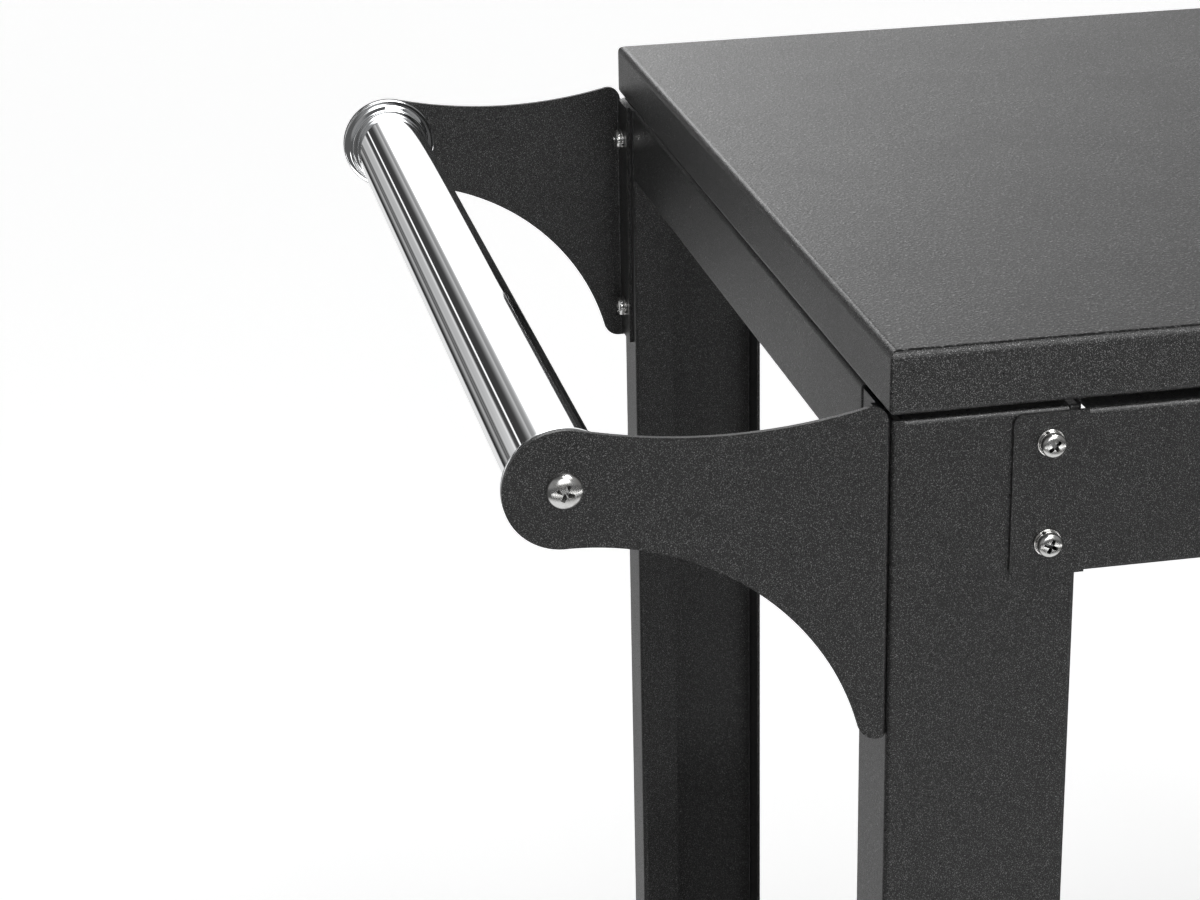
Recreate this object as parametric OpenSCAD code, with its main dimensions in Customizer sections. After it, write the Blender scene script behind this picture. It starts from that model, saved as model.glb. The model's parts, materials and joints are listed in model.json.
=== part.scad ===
// Grill cart: folded sheet-steel table on four swivel casters, with a tube handle at the left end.
// Origin on the floor under the middle of the overall size. X runs left to right, Y front to back.

/* [Frame] */
// Length of the frame over the legs, left to right
frame_l = 860; // [600:10:1400]
// Depth of the frame over the legs, front to back
frame_d = 500; // [400:10:800]
// Height of the tabletop above the floor
table_h = 860; // [700:10:1000]
// Thickness of the folded sheet in legs, rails, aprons and stiffeners
sheet_t = 1.5; // [1:0.1:2]
// Outer radius of the bends in that sheet
bend_r = 2.4; // [2.2:0.1:4]

/* [Tabletop] */
// Depth of the tabletop's folded edge
edge_h = 26; // [20:1:50]
// Overhang of the tabletop past the legs on each side
top_over = 1.2; // [0:0.1:8]
// Thickness of the tabletop sheet
top_t = 1.2; // [0.8:0.1:2]
// Outer radius of the tabletop's bends
top_bend_r = 3.5; // [2.5:0.1:6]
// Radius of the tabletop's vertical corner seams
top_corner_r = 1.5; // [0.5:0.1:3]
// Width of the return along the bottom of the folded edge
top_return = 12; // [8:1:20]
// Shadow gap between the tabletop and the legs
leg_gap = 2; // [1:0.1:6]
// Shadow gap between the tabletop and the aprons
apron_gap = 1; // [0.5:0.1:4]
// Width of a stiffener's crown
stiff_crown = 40; // [30:1:60]
// Width of a stiffener's brim on each side
stiff_brim = 14; // [8:1:25]
// Distance from the frame's end to the middle of the outer stiffeners
stiff_inset = 170; // [140:5:200]
// Gap between a stiffener's end and the tabletop's return
stiff_end_gap = 1.5; // [0.5:0.5:5]

/* [Legs] */
// Width of a front leg's web
front_web = 75; // [70:1:90]
// Depth of a front leg's side wall
front_wall = 40; // [34:1:60]
// Width of a rear leg's web
rear_web = 71; // [70:1:90]
// Depth of a rear leg's side wall
rear_wall = 29; // [26:1:60]
// Width of the lip along the free edge of a leg's side wall
leg_lip = 20; // [19:1:22]
// Depth of the return along the free edge of a leg's web
leg_return = 19; // [18:1:24]
// Depth of the flange folded inwards from the top of a leg's web
leg_top_flange = 14; // [8:1:18]
// Length of the relief cuts at the ends of that flange
leg_relief = 5; // [4:0.5:8]
// Thickness of the plate under each leg
foot_t = 4; // [3:0.5:6]
// Depth of the plate under each leg
foot_d = 58; // [55:1:70]
// Corner radius of the plate under each leg
foot_corner_r = 4; // [2:1:8]

/* [Rails] */
// Height of the front and rear rails
rail_h = 67; // [60:1:90]
// Distance from the top of a leg down to the top of a rail
rail_drop = 1.4; // [0:0.1:6]
// Distance from a leg's outer face to the end of a rail
rail_inset = 47.5; // [44:0.5:50]
// Radius of the rail's end corners
rail_corner_r = 4; // [1:0.5:8]
// Gap between a leg and the rail's folded flanges
flange_gap = 2.5; // [1:0.5:6]
// Depth of a rail's top flange
rail_top_flange = 36; // [32:1:50]
// Depth of a rail's bottom flange
rail_low_flange = 18; // [10:1:30]
// Distance from the end of a rail to its screws
rail_screw_in = 14.7; // [12:0.1:18]
// Distance from the top of a rail down to its upper screws
rail_screw_top = 12; // [10:0.5:16]
// Distance between a rail's upper and lower screws
rail_screw_pitch = 41; // [25:0.5:42]

/* [Aprons] */
// Height of the side aprons
apron_h = 39; // [36:1:60]
// Depth of the folds around a side apron
apron_flange = 18; // [17:1:19]
// Distance between the two screws at each end of an apron
apron_screw_pitch = 18; // [14:1:20]
// Distance from a leg's outer face to the screws in its lip or return
lip_screw_in = 11; // [10:0.5:12]

/* [Handle] */
// Distance from the legs' outer faces to the handle's axis
handle_out = 125; // [100:1:160]
// Distance from the tabletop's surface down to the handle's axis
handle_drop = 43.3; // [40:0.1:50]
// Diameter of the handle tube
tube_d = 36.6; // [28:0.1:38]
// Wall of the handle tube
tube_t = 1.5; // [1:0.1:2.5]
// Thickness of the bracket sheet
bracket_t = 2; // [1.5:0.1:2.4]
// Outer radius of the bend between a bracket's plate and its flange
bracket_bend_r = 2.8; // [2.5:0.1:4]
// Radius of a bracket's round end
tab_r = 23.5; // [20:0.1:30]
// Radius of the shallow hollow along a bracket's top edge
upper_arc_r = 240; // [200:5:320]
// Distance from the handle's axis to the lowest point of that hollow
upper_arc_in = 63; // [55:1:70]
// Radius of a bracket's top corner at the leg
bracket_top_r = 6.6; // [4:0.1:9]
// Radius of the deep hollow along a bracket's lower edge
lower_arc_r = 117.6; // [105:0.2:125]
// Radius of a bracket's foot
bracket_foot_r = 8; // [6:0.5:10]
// Height of a bracket's flange on the leg
bracket_flange_h = 129.6; // [120:0.1:140]
// Distance that a bracket's foot reaches below its flange
foot_drop = 2; // [0:0.1:3]
// Width of a bracket's flange on the leg
bracket_flange_w = 22; // [19:0.5:24]
// Distance from a bracket's plate to its flange screws
bracket_screw_in = 12; // [10:0.5:13]
// Distance from the top of a bracket's flange to its upper screw
bracket_screw_top = 19; // [10:0.5:25]
// Distance between the flange screws of a bracket
bracket_screw_pitch = 93; // [80:1:100]
// Thickness of a handle collar's base
collar_t = 1.5; // [1:0.1:3]
// Length of a handle collar
collar_l = 9; // [6:0.5:14]
// Thickness of a handle collar at its mouth
collar_lip = 1.4; // [0.8:0.1:2]
// Length of the plugs inside the tube's ends
plug_l = 22; // [20:1:40]

/* [Lower shelf] */
// Height of the shelf's surface above the floor
shelf_z = 230; // [180:5:400]
// Depth of the shelf's folded edge
shelf_h = 32; // [28:1:50]
// Thickness of the shelf sheet
shelf_t = 1.2; // [0.8:0.1:1.5]
// Width of the return along the bottom of the shelf's edge
shelf_return = 10; // [6:1:14]
// Distance from the shelf's surface down to the top of its corner tabs
shelf_tab_drop = 4; // [3.5:0.5:6]
// Width of those corner tabs
shelf_tab_w = 18; // [17:1:18.5]
// Height of the shelf's stiffeners
shelf_stiff_h = 20; // [12:1:24]
// Gap between a shelf stiffener's end and the shelf's folded edge
shelf_end_gap = 2; // [1.5:0.5:5]
// Distance from the shelf's middle to its stiffeners
shelf_stiff_y = 95; // [60:5:120]

/* [Casters] */
// Diameter of a wheel
wheel_d = 75; // [60:1:76]
// Width of a tyre
tyre_w = 24; // [18:1:30]
// Thickness of a tyre
tyre_t = 9.5; // [6:0.5:12]
// Height of a caster, from the floor to the plate under the leg
caster_h = 100; // [98:1:120]
// Distance that the wheel trails behind the swivel axis
trail = 28; // [20:1:30]
// Distance from a leg's outer side face to the swivel axis
caster_in_x = 36; // [34:1:40]
// Distance from a leg's outer web face to the swivel axis
caster_in_y = 30; // [28:1:32]
// Thickness of the fork's sheet
fork_t = 2.5; // [2:0.1:3]
// Outer radius of the fork's shoulders
fork_bend_r = 5; // [4:0.5:8]
// Length of the fork's top
fork_l = 40; // [36:1:44]
// Radius of the fork's shoulders, seen from the side
shoulder_r = 17; // [15:1:18]
// Radius of the fork round the wheel's axle
fork_eye_r = 11; // [9:0.5:13]
// Diameter of the axle
axle_d = 8; // [6:0.5:10]
// Diameter of the king pin that the fork turns on
king_d = 14; // [12:0.5:16]
// Diameter of the top race
race_d = 46; // [42:1:48]
// Angle that a brake pedal tips through to lock its wheel
brake_travel = 25; // [15:1:28]
// Length of a brake pedal from its pin
pedal_l = 38; // [34:1:44]

/* [Fasteners] */
// Diameter of the screws in the frame
screw_d = 6; // [5:0.5:6]
// Diameter of their pan heads
head_d = 9.8; // [9:0.1:11]
// Height of their pan heads
head_h = 3.2; // [2.5:0.1:4]
// Width of their nuts across the flats
nut_w = 10; // [8:0.5:10]
// Height of their nuts
nut_h = 5; // [4:0.5:5]
// Diameter of the flat washers
washer_d = 11; // [10.6:0.1:12]
// Thickness of the flat washers
washer_t = 1; // [0.8:0.1:1.6]
// Diameter of the split lock washers
lock_d = 10.2; // [9.5:0.1:11]
// Thickness of the split lock washers
lock_t = 1.3; // [1:0.1:2]
// Diameter of the handle screws
handle_screw_d = 8; // [6:0.5:8]
// Diameter of the handle screws' truss heads
truss_d = 14.2; // [13:0.1:18]
// Height of the handle screws' truss heads
truss_h = 3.8; // [3:0.1:5]
// Diameter of the threaded stems
stem_d = 10; // [8:0.5:12]
// Width of the stem nuts across the flats
stem_nut_w = 16; // [15:0.5:18]
// Height of the stem nuts
stem_nut_h = 8; // [6:0.5:10]

/* [Fits] */
// Clearance round a screw in its hole
hole_gap = 0.3; // [0.1:0.1:0.5]
// Running clearance round an axle, pin or king pin
run_gap = 0.05; // [0.03:0.01:0.09]
// Clearance between parts that move past each other
move_gap = 0.4; // [0.35:0.05:0.8]

/* [Hidden] */
$fn = 64;

// Outer faces of the frame, with the origin in the middle of the overall length
left_x = (handle_out + tab_r - frame_l - top_over) / 2;
right_x = left_x + frame_l;
mid_x = left_x + frame_l / 2;

// Heights above the floor
top_under = table_h - top_t;
leg_top = table_h - edge_h - leg_gap;
leg_bottom = caster_h + foot_t;
rail_top = leg_top - rail_drop;
rail_bottom = rail_top - rail_h;
apron_top = table_h - edge_h - apron_gap;
apron_mid = apron_top - apron_h / 2;
shelf_bottom = shelf_z - shelf_h;
shelf_screw_z = (shelf_bottom + shelf_z - shelf_tab_drop) / 2;
rail_flange_x = max(front_web, rear_web) + flange_gap;
stiff_h = top_under - rail_top;
stiff_start = top_return - top_over + stiff_end_gap;
stiff_screw_in = (stiff_start + rail_top_flange) / 2;

// Handle
handle_x = left_x - handle_out;
handle_z = table_h - handle_drop;
bracket_top = leg_top;
bracket_foot_z = bracket_top - bracket_flange_h - foot_drop;
bracket_screws_z = [for (i = [0, 1]) bracket_top - bracket_screw_top - i * bracket_screw_pitch];

// Caster, drawn about its swivel axis with the floor at zero
wheel_r = wheel_d / 2;
race_z = caster_h - 4;
ring_z = race_z - 3;
fork_top = ring_z - move_gap;
fork_inner = tyre_w / 2 + 3;
fork_outer = fork_inner + fork_t;
brake_x = -trail - 6;
brake_z = wheel_d + 5.5;
brake_pin_d = 5;
wheel_dir = atan2(wheel_r - brake_z, -trail - brake_x);
cam_reach = norm([-trail - brake_x, wheel_r - brake_z]) - wheel_r - move_gap;

STEEL = [0.2, 0.2, 0.21];
TOP = [0.32, 0.32, 0.33];
CHROME = [0.85, 0.86, 0.88];
ZINC = [0.72, 0.72, 0.7];
DARK = [0.12, 0.12, 0.13];
GREY = [0.45, 0.45, 0.46];

CORNERS = [[-1, -1], [1, -1], [-1, 1], [1, 1]];

// Web width and wall depth of the legs on side sy, which is -1 in front and 1 behind
function web_of(sy) = sy < 0 ? front_web : rear_web;
function wall_of(sy) = sy < 0 ? front_wall : rear_wall;
function polar(r, a) = [r * cos(a), r * sin(a)];

// Placement at a corner of the frame: x and y run inwards from the leg's outer faces
module corner(sx, sy) {
    translate([sx < 0 ? left_x : right_x, sy * frame_d / 2, 0])
        mirror([sx > 0 ? 1 : 0, 0, 0])
            mirror([0, sy > 0 ? 1 : 0, 0])
                children();
}

module at_corners() {
    for (c = CORNERS) corner(c[0], c[1]) children();
}

// Placement on the swivel axis of a caster
module at_caster(sx, sy) {
    x = sx < 0 ? left_x + caster_in_x : right_x - caster_in_x;
    translate([x, sy * (frame_d / 2 - caster_in_y), 0]) children();
}

// Turns a shape that stands on z so that it stands along -y, +y, -x or +x
module facing_front() { rotate([90, 0, 0]) children(); }
module facing_back() { rotate([-90, 0, 0]) children(); }
module facing_left() { rotate([0, -90, 0]) children(); }
module facing_right() { rotate([0, 90, 0]) children(); }

// Extrudes an XZ outline along y, from y = from over length l
module along_y(from, l) {
    translate([0, from + l, 0]) rotate([90, 0, 0]) linear_extrude(l) children();
}

// Extrudes a YZ outline along x, from x = from over length l
module along_x(from, l) {
    translate([from, 0, 0]) rotate([90, 0, 90]) linear_extrude(l) children();
}

// Quarter ring of bent sheet in the first quadrant
module quarter_bend(r, t) {
    intersection() {
        difference() {
            circle(r);
            circle(r - t);
        }
        square(r);
    }
}

// Two circles joined by their outer tangents, drawn a hair inside so that the outlines cross
module tapered_link(a, ra, b, rb) {
    inset = 0.04;
    dir = atan2(b[1] - a[1], b[0] - a[0]);
    lean = acos((ra - rb) / norm(b - a));
    translate(a) circle(ra);
    translate(b) circle(rb);
    polygon([
        a + polar(ra - inset, dir + lean),
        b + polar(rb - inset, dir + lean),
        b + polar(rb - inset, dir - lean),
        a + polar(ra - inset, dir - lean)
    ]);
}

// Fasteners, standing on z = 0 with the head above and the shank below

module cross_recess(d, h) {
    for (a = [0, 90]) rotate(a) translate([-d * 0.3, -d * 0.06, h * 0.45]) cube([d * 0.6, d * 0.12, h]);
}

module screw(d, hd, hh, l) {
    dome_r = hd * 0.72;
    difference() {
        rotate_extrude() intersection() {
            square([hd / 2, hh]);
            translate([0, hh - dome_r]) circle(dome_r);
        }
        cross_recess(hd, hh);
    }
    translate([0, 0, -l]) cylinder(d = d, h = l);
}

module hex_nut(w, h, bore) {
    difference() {
        intersection() {
            cylinder(d = w / cos(30), h = h, $fn = 6);
            cylinder(d = w * 1.1, h = h);
        }
        translate([0, 0, -1]) cylinder(d = bore, h = h + 2);
    }
}

module flat_washer() {
    difference() {
        cylinder(d = washer_d, h = washer_t);
        translate([0, 0, -1]) cylinder(d = screw_d + 2 * hole_gap, h = washer_t + 2);
    }
}

module lock_washer() {
    difference() {
        cylinder(d = lock_d, h = lock_t);
        translate([0, 0, -1]) cylinder(d = screw_d + 2 * hole_gap, h = lock_t + 2);
        rotate(115) translate([0, -0.6, -1]) cube([lock_d, 1.2, lock_t + 2]);
    }
}

module frame_screw(grip) { screw(screw_d, head_d, head_h, grip + nut_h + 1.5); }
module frame_nut() { hex_nut(nut_w, nut_h, screw_d + 0.1); }
module screw_hole() { translate([0, 0, -10]) cylinder(d = screw_d + 2 * hole_gap, h = 20); }

// Folded pans: face up at z = h, edges turned down all round

module pan_profile(w, h, r, low_r) {
    translate([-w / 2, low_r]) square([w, h - r - low_r]);
    translate([-w / 2 + r, h - r]) square([w - 2 * r, r]);
    for (s = [-1, 1]) translate([s * (w / 2 - r), h - r]) circle(r);
    if (low_r > 0) {
        translate([-w / 2 + low_r, 0]) square([w - 2 * low_r, low_r]);
        for (s = [-1, 1]) translate([s * (w / 2 - low_r), low_r]) circle(low_r);
    }
}

module pan_solid(l, w, h, r, low_r) {
    intersection() {
        along_y(-w, 2 * w) pan_profile(l, h, r, low_r);
        along_x(-l, 2 * l) pan_profile(w, h, r, low_r);
    }
}

module folded_pan(l, w, h, t, r, ret) {
    low_r = ret > 0 ? r : 0;
    floor_z = ret > 0 ? t : -1;
    difference() {
        pan_solid(l, w, h, r, low_r);
        translate([0, 0, floor_z])
            pan_solid(l - 2 * t, w - 2 * t, h - t - floor_z, r - t, ret > 0 ? r - t : 0);
        if (ret > 0) translate([ret - l / 2, ret - w / 2, -1]) cube([l - 2 * ret, w - 2 * ret, t + 2]);
    }
}

module hat_half(crown, brim, h) {
    t = sheet_t;
    r = bend_r;
    translate([0, 0]) square([crown / 2 - r, t]);
    translate([crown / 2 - r, r]) rotate(-90) quarter_bend(r, t);
    translate([crown / 2 - t, r]) square([t, h - 2 * r]);
    translate([crown / 2 - t + r, h - r]) rotate(90) quarter_bend(r, t);
    translate([crown / 2 - t + r, h - t]) square([brim + t - r, t]);
}

module hat_section(crown, brim, h) {
    hat_half(crown, brim, h);
    mirror([1, 0]) hat_half(crown, brim, h);
}

// Tabletop

module tabletop() {
    l = frame_l + 2 * top_over;
    w = frame_d + 2 * top_over;
    color(TOP) intersection() {
        translate([mid_x, 0, table_h - edge_h]) folded_pan(l, w, edge_h, top_t, top_bend_r, top_return);
        translate([mid_x, 0, table_h - edge_h - 1]) linear_extrude(edge_h + 2) {
            square([l, w - 2 * top_corner_r], center = true);
            square([l - 2 * top_corner_r, w], center = true);
            for (c = CORNERS) translate([c[0] * (l / 2 - top_corner_r), c[1] * (w / 2 - top_corner_r)])
                circle(top_corner_r);
        }
    }
}

stiff_xs = [left_x + stiff_inset, mid_x, right_x - stiff_inset];

module at_stiffener_screws() {
    for (x = stiff_xs, s = [-1, 1]) translate([x, s * (frame_d / 2 - stiff_screw_in), 0]) children();
}

module tabletop_stiffeners() {
    l = frame_d - 2 * stiff_start;
    color(STEEL) difference() {
        for (x = stiff_xs) translate([x, 0, rail_top])
            along_y(-l / 2, l) hat_section(stiff_crown, stiff_brim, stiff_h);
        at_stiffener_screws() translate([0, 0, rail_top]) screw_hole();
    }
}

module tabletop_screws() {
    color(ZINC) at_stiffener_screws() translate([0, 0, rail_top - sheet_t]) mirror([0, 0, 1])
        frame_screw(2 * sheet_t);
}

module tabletop_nuts() {
    color(ZINC) at_stiffener_screws() translate([0, 0, rail_top + sheet_t]) frame_nut();
}

// Legs

module leg_section(web, wall) {
    t = sheet_t;
    r = bend_r;
    translate([r, 0]) square([web - 2 * r, t]);
    translate([0, r]) square([t, wall - 2 * r]);
    translate([r, wall - t]) square([leg_lip - r, t]);
    translate([web - t, r]) square([t, leg_return - r]);
    translate([r, r]) rotate(180) quarter_bend(r, t);
    translate([web - r, r]) rotate(-90) quarter_bend(r, t);
    translate([r, wall - r]) rotate(90) quarter_bend(r, t);
}

// Screw places in a leg's corner frame, each with its z axis along the screw
module at_rail_screws() {
    for (i = [0, 1])
        translate([rail_inset + rail_screw_in, 0, rail_top - rail_screw_top - i * rail_screw_pitch])
            facing_front() children();
}

module at_bracket_screws() {
    for (z = bracket_screws_z) translate([0, bracket_screw_in, z]) facing_left() children();
}

module at_apron_screws(sy) {
    for (s = [-1, 1]) translate([lip_screw_in, wall_of(sy), apron_mid + s * apron_screw_pitch / 2])
        facing_back() children();
}

module at_shelf_screws(sy) {
    translate([lip_screw_in, wall_of(sy), shelf_screw_z]) facing_back() children();
    translate([web_of(sy), lip_screw_in, shelf_screw_z]) facing_right() children();
}

module leg_flange() {
    t = sheet_t;
    r = bend_r;
    translate([r, -r]) rotate(90) quarter_bend(r, t);
    translate([r, -t]) square([leg_top_flange - r, t]);
}

module leg(sx, sy) {
    flange_l = web_of(sy) - 2 * leg_relief;
    color(STEEL) corner(sx, sy) difference() {
        union() {
            difference() {
                translate([0, 0, leg_bottom]) linear_extrude(leg_top - leg_bottom)
                    leg_section(web_of(sy), wall_of(sy));
                translate([leg_relief, -1, leg_top - bend_r]) cube([flange_l, sheet_t + 2, bend_r + 1]);
            }
            translate([0, 0, leg_top]) along_x(leg_relief, flange_l) leg_flange();
        }
        at_rail_screws() screw_hole();
        if (sx < 0) at_bracket_screws() screw_hole();
        at_apron_screws(sy) screw_hole();
        at_shelf_screws(sy) screw_hole();
    }
}

module leg_front_left() { leg(-1, -1); }
module leg_front_right() { leg(1, -1); }
module leg_rear_left() { leg(-1, 1); }
module leg_rear_right() { leg(1, 1); }

module foot_plate(web) {
    r = foot_corner_r;
    difference() {
        linear_extrude(foot_t) difference() {
            union() {
                translate([r, 0]) square([web - 2 * r, foot_d]);
                translate([0, r]) square([web, foot_d - 2 * r]);
                for (x = [r, web - r], y = [r, foot_d - r]) translate([x, y]) circle(r);
            }
            translate([caster_in_x, caster_in_y]) circle(d = stem_d + 2 * hole_gap);
        }
    }
}

module foot_plates() {
    color(STEEL) for (c = CORNERS) corner(c[0], c[1]) translate([0, 0, caster_h]) foot_plate(web_of(c[1]));
}

// Rails

module rail_blank() {
    r = rail_corner_r;
    l = frame_l - 2 * rail_inset;
    translate([rail_inset + r, 0]) square([l - 2 * r, rail_h]);
    translate([rail_inset, r]) square([l, rail_h - 2 * r]);
    for (x = [rail_inset + r, rail_inset + l - r], z = [r, rail_h - r]) translate([x, z]) circle(r);
}

module rail_section() {
    t = sheet_t;
    r = bend_r;
    translate([-t, r]) square([t, rail_h - 2 * r]);
    translate([r - t, r]) rotate(180) quarter_bend(r, t);
    translate([r - t, rail_h - r]) rotate(90) quarter_bend(r, t);
    translate([r - t, 0]) square([rail_low_flange + t - r, t]);
    translate([r - t, rail_h - t]) square([rail_top_flange + t - r, t]);
}

module rail(sy) {
    mid_l = frame_l - 2 * rail_flange_x;
    color(STEEL) difference() {
        corner(-1, sy) translate([0, 0, rail_bottom]) {
            along_y(-sheet_t, sheet_t) difference() {
                rail_blank();
                for (z = [-1, rail_h - bend_r]) translate([rail_flange_x, z]) square([mid_l, bend_r + 1]);
            }
            along_x(rail_flange_x, mid_l) rail_section();
        }
        for (sx = [-1, 1]) corner(sx, sy) at_rail_screws() screw_hole();
        at_stiffener_screws() translate([0, 0, rail_top]) screw_hole();
    }
}

module front_rail() { rail(-1); }
module rear_rail() { rail(1); }

module rail_flat_washers() {
    color(ZINC) at_corners() at_rail_screws() translate([0, 0, sheet_t]) flat_washer();
}

module rail_lock_washers() {
    color(ZINC) at_corners() at_rail_screws() translate([0, 0, sheet_t + washer_t]) lock_washer();
}

module rail_screws() {
    seat = sheet_t + washer_t + lock_t;
    color(ZINC) at_corners() at_rail_screws() translate([0, 0, seat]) rotate(20) frame_screw(seat + sheet_t);
}

module rail_nuts() {
    color(ZINC) at_corners() at_rail_screws() translate([0, 0, -sheet_t - nut_h]) frame_nut();
}

// Side aprons, between the lips of the legs

module apron(sx) {
    l = frame_d - front_wall - rear_wall;
    color(STEEL) difference() {
        translate([sx < 0 ? left_x : right_x, (front_wall - rear_wall) / 2, apron_mid])
            mirror([sx > 0 ? 1 : 0, 0, 0])
                translate([apron_flange, 0, 0]) facing_left()
                    folded_pan(apron_h, l, apron_flange, sheet_t, bend_r, 0);
        for (sy = [-1, 1]) corner(sx, sy) at_apron_screws(sy) screw_hole();
    }
}

module left_apron() { apron(-1); }
module right_apron() { apron(1); }

module apron_screws() {
    color(ZINC) for (c = CORNERS) corner(c[0], c[1]) at_apron_screws(c[1]) translate([0, 0, sheet_t])
        frame_screw(2 * sheet_t);
}

module apron_nuts() {
    color(ZINC) for (c = CORNERS) corner(c[0], c[1]) at_apron_screws(c[1])
        translate([0, 0, -sheet_t - nut_h]) frame_nut();
}

// Handle brackets, drawn in the left corner frame: the plate's outline, seen from the front

module bracket_outline() {
    inset = 0.04;
    tab = [-handle_out, handle_z];
    upper = tab + [upper_arc_in, sqrt(pow(upper_arc_r + tab_r, 2) - pow(upper_arc_in, 2))];
    lower = tab - [0, tab_r + lower_arc_r];
    top_span = upper_arc_r + bracket_top_r;
    top_c = [upper[0] + sqrt(pow(top_span, 2) - pow(upper[1] - bracket_top, 2)), bracket_top];
    foot_z = bracket_foot_z + bracket_foot_r;
    foot_span = lower_arc_r + bracket_foot_r;
    foot_c = [lower[0] + sqrt(pow(foot_span, 2) - pow(foot_z - lower[1], 2)), foot_z];
    translate(tab) circle(tab_r);
    translate(top_c) circle(bracket_top_r);
    translate(foot_c) circle(bracket_foot_r);
    difference() {
        polygon([
            [tab[0], tab[1]],
            tab + (upper - tab) * 0.3,
            top_c + (upper - top_c) * 0.3,
            top_c,
            [0, bracket_top],
            [0, foot_z],
            foot_c,
            foot_c + (lower - foot_c) * 0.3,
            tab + (lower - tab) * 0.3
        ]);
        translate(upper) circle(upper_arc_r + inset, $fn = 256);
        translate(lower) circle(lower_arc_r + inset, $fn = 256);
    }
}

module bracket_fold() {
    t = bracket_t;
    r = bracket_bend_r;
    reach = handle_out + tab_r;
    translate([-reach, 0]) square([reach - r, t]);
    translate([-r, r]) rotate(-90) quarter_bend(r, t);
    translate([-t, r]) square([t, bracket_flange_w - r]);
}

module handle_bracket(sy) {
    low = bracket_foot_z;
    color(STEEL) corner(-1, sy) difference() {
        intersection() {
            translate([0, 0, low - 1]) linear_extrude(table_h - low) bracket_fold();
            union() {
                along_y(-1, bracket_bend_r + 0.9) bracket_outline();
                translate([-bracket_bend_r - 0.5, 0.5, bracket_top - bracket_flange_h])
                    cube([2 * bracket_bend_r, bracket_flange_w, bracket_flange_h]);
            }
        }
        at_bracket_screws() screw_hole();
        translate([-handle_out, 0, handle_z]) facing_back() translate([0, 0, -1])
            cylinder(d = handle_screw_d + 2 * hole_gap, h = bracket_t + 2);
    }
}

module handle_bracket_front() { handle_bracket(-1); }
module handle_bracket_rear() { handle_bracket(1); }

module bracket_lock_washers() {
    color(ZINC) for (sy = [-1, 1]) corner(-1, sy) at_bracket_screws() translate([0, 0, bracket_t])
        lock_washer();
}

module bracket_screws() {
    seat = bracket_t + lock_t;
    color(ZINC) for (sy = [-1, 1]) corner(-1, sy) at_bracket_screws() translate([0, 0, seat])
        frame_screw(seat + sheet_t);
}

module bracket_nuts() {
    color(ZINC) for (sy = [-1, 1]) corner(-1, sy) at_bracket_screws()
        translate([0, 0, -sheet_t - nut_h]) frame_nut();
}

// Placement on the handle's axis at a bracket's inner face, with z towards the other bracket
module at_handle_ends() {
    for (sy = [-1, 1]) corner(-1, sy) translate([-handle_out, bracket_t, handle_z])
        facing_back() children();
}

module handle_tube() {
    half = frame_d / 2 - bracket_t - collar_t;
    color(CHROME) translate([handle_x, half, handle_z]) rotate([90, 0, 0]) difference() {
        cylinder(d = tube_d, h = 2 * half);
        translate([0, 0, -1]) cylinder(d = tube_d - 2 * tube_t, h = 2 * half + 2);
    }
}

module handle_collars() {
    seat_r = tube_d / 2 + run_gap;
    mouth_r = seat_r + collar_lip;
    base_h = 2.5;
    cove_r = min(collar_l - base_h, tab_r - mouth_r);
    color(CHROME) at_handle_ends() rotate_extrude() difference() {
        union() {
            square([tab_r, base_h]);
            square([mouth_r + cove_r, collar_l]);
        }
        square([handle_screw_d / 2 + hole_gap, collar_l + 1]);
        translate([0, collar_t]) square([seat_r, collar_l]);
        translate([mouth_r + cove_r, base_h + cove_r]) circle(cove_r);
        translate([mouth_r, base_h + cove_r]) square([cove_r + 1, collar_l]);
        translate([mouth_r + cove_r, base_h]) square([cove_r + 1, collar_l]);
    }
}

module handle_end_plugs() {
    color(GREY) at_handle_ends() translate([0, 0, collar_t]) difference() {
        cylinder(r = tube_d / 2 - tube_t - run_gap, h = plug_l);
        translate([0, 0, -1]) cylinder(d = handle_screw_d + 0.1, h = plug_l + 2);
    }
}

module handle_screws() {
    l = bracket_t + collar_t + plug_l - 4;
    color(ZINC) at_handle_ends() translate([0, 0, -bracket_t]) mirror([0, 0, 1])
        rotate(32) screw(handle_screw_d, truss_d, truss_h, l);
}

// Lower shelf, notched round the legs, with a tab against each lip and return

module shelf_tabs(web, wall) {
    t = shelf_t;
    r = bend_r;
    translate([web + r, r]) rotate(180) quarter_bend(r, t);
    translate([web, r]) square([t, shelf_tab_w - r]);
    translate([r, wall + r]) rotate(180) quarter_bend(r, t);
    translate([r, wall]) square([shelf_tab_w - r, t]);
}

module lower_shelf() {
    color(STEEL) difference() {
        union() {
            difference() {
                translate([mid_x, 0, shelf_bottom])
                    folded_pan(frame_l, frame_d, shelf_h, shelf_t, bend_r, shelf_return);
                for (c = CORNERS) corner(c[0], c[1]) translate([-1, -1, shelf_bottom - 1])
                    cube([web_of(c[1]) + bend_r + 1, wall_of(c[1]) + bend_r + 1, shelf_h + 2]);
            }
            for (c = CORNERS) corner(c[0], c[1]) translate([0, 0, shelf_bottom + bend_r])
                linear_extrude(shelf_h - shelf_tab_drop - bend_r) shelf_tabs(web_of(c[1]), wall_of(c[1]));
        }
        for (c = CORNERS) corner(c[0], c[1]) at_shelf_screws(c[1]) screw_hole();
    }
}

module shelf_stiffeners() {
    l = frame_l - 2 * (shelf_t + shelf_end_gap);
    color(STEEL) for (s = [-1, 1])
        translate([mid_x, s * shelf_stiff_y, shelf_z - shelf_t - shelf_stiff_h])
            along_x(-l / 2, l) hat_section(stiff_crown, stiff_brim, shelf_stiff_h);
}

module shelf_screws() {
    color(ZINC) for (c = CORNERS) corner(c[0], c[1]) at_shelf_screws(c[1]) translate([0, 0, shelf_t])
        frame_screw(shelf_t + sheet_t);
}

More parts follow.
